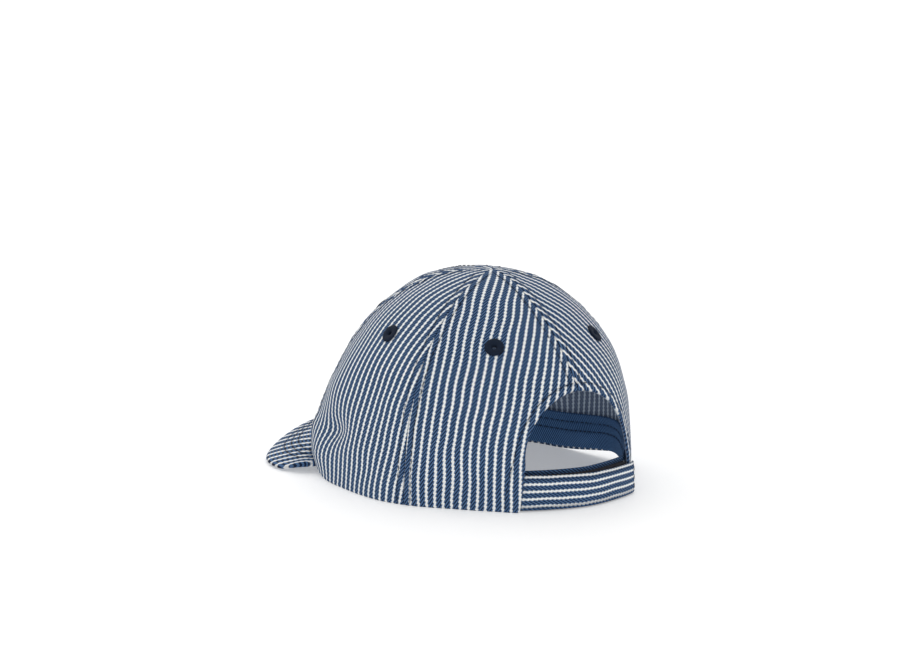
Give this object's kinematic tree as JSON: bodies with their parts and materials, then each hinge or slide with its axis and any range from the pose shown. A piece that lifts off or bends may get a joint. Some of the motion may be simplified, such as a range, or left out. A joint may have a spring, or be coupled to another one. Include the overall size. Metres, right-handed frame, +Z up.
{
  "type": "cap",
  "caption": "Small child's soft cloth cap in striped twill, with a short curved peak, a sweatband, thread eyelets and an adjustable strap across its back opening.",
  "frame": {"origin": "on the surface the cap stands on, under the middle of its length and width", "axes": "+Y towards the back strap and -Y towards the peak, +X towards the wearer's left, +Z up"},
  "size_m": [0.1426, 0.2012, 0.1025],
  "materials": {
    "striped_twill": "blue and white lengthwise stripes, matt cotton twill",
    "plain_twill": "plain blue matt cotton twill",
    "fastening_tape": "black, matt, short pile",
    "thread": "dark navy, slight sheen"
  },
  "bodies": {
    "root": {"panel_front_left": "striped_twill", "panel_front_right": "striped_twill", "panel_side_left": "striped_twill", "panel_side_right": "striped_twill", "panel_back_left": "striped_twill", "panel_back_right": "striped_twill", "peak": "striped_twill", "closure_strap": "striped_twill", "under_strap": "striped_twill", "sweatband": "plain_twill", "hook_tape": "fastening_tape", "loop_tape": "fastening_tape", "eyelet_front_left": "thread", "eyelet_front_right": "thread", "eyelet_side_left": "thread", "eyelet_side_right": "thread", "eyelet_back_left": "thread", "eyelet_back_right": "thread"}
  },
  "joints": []
}
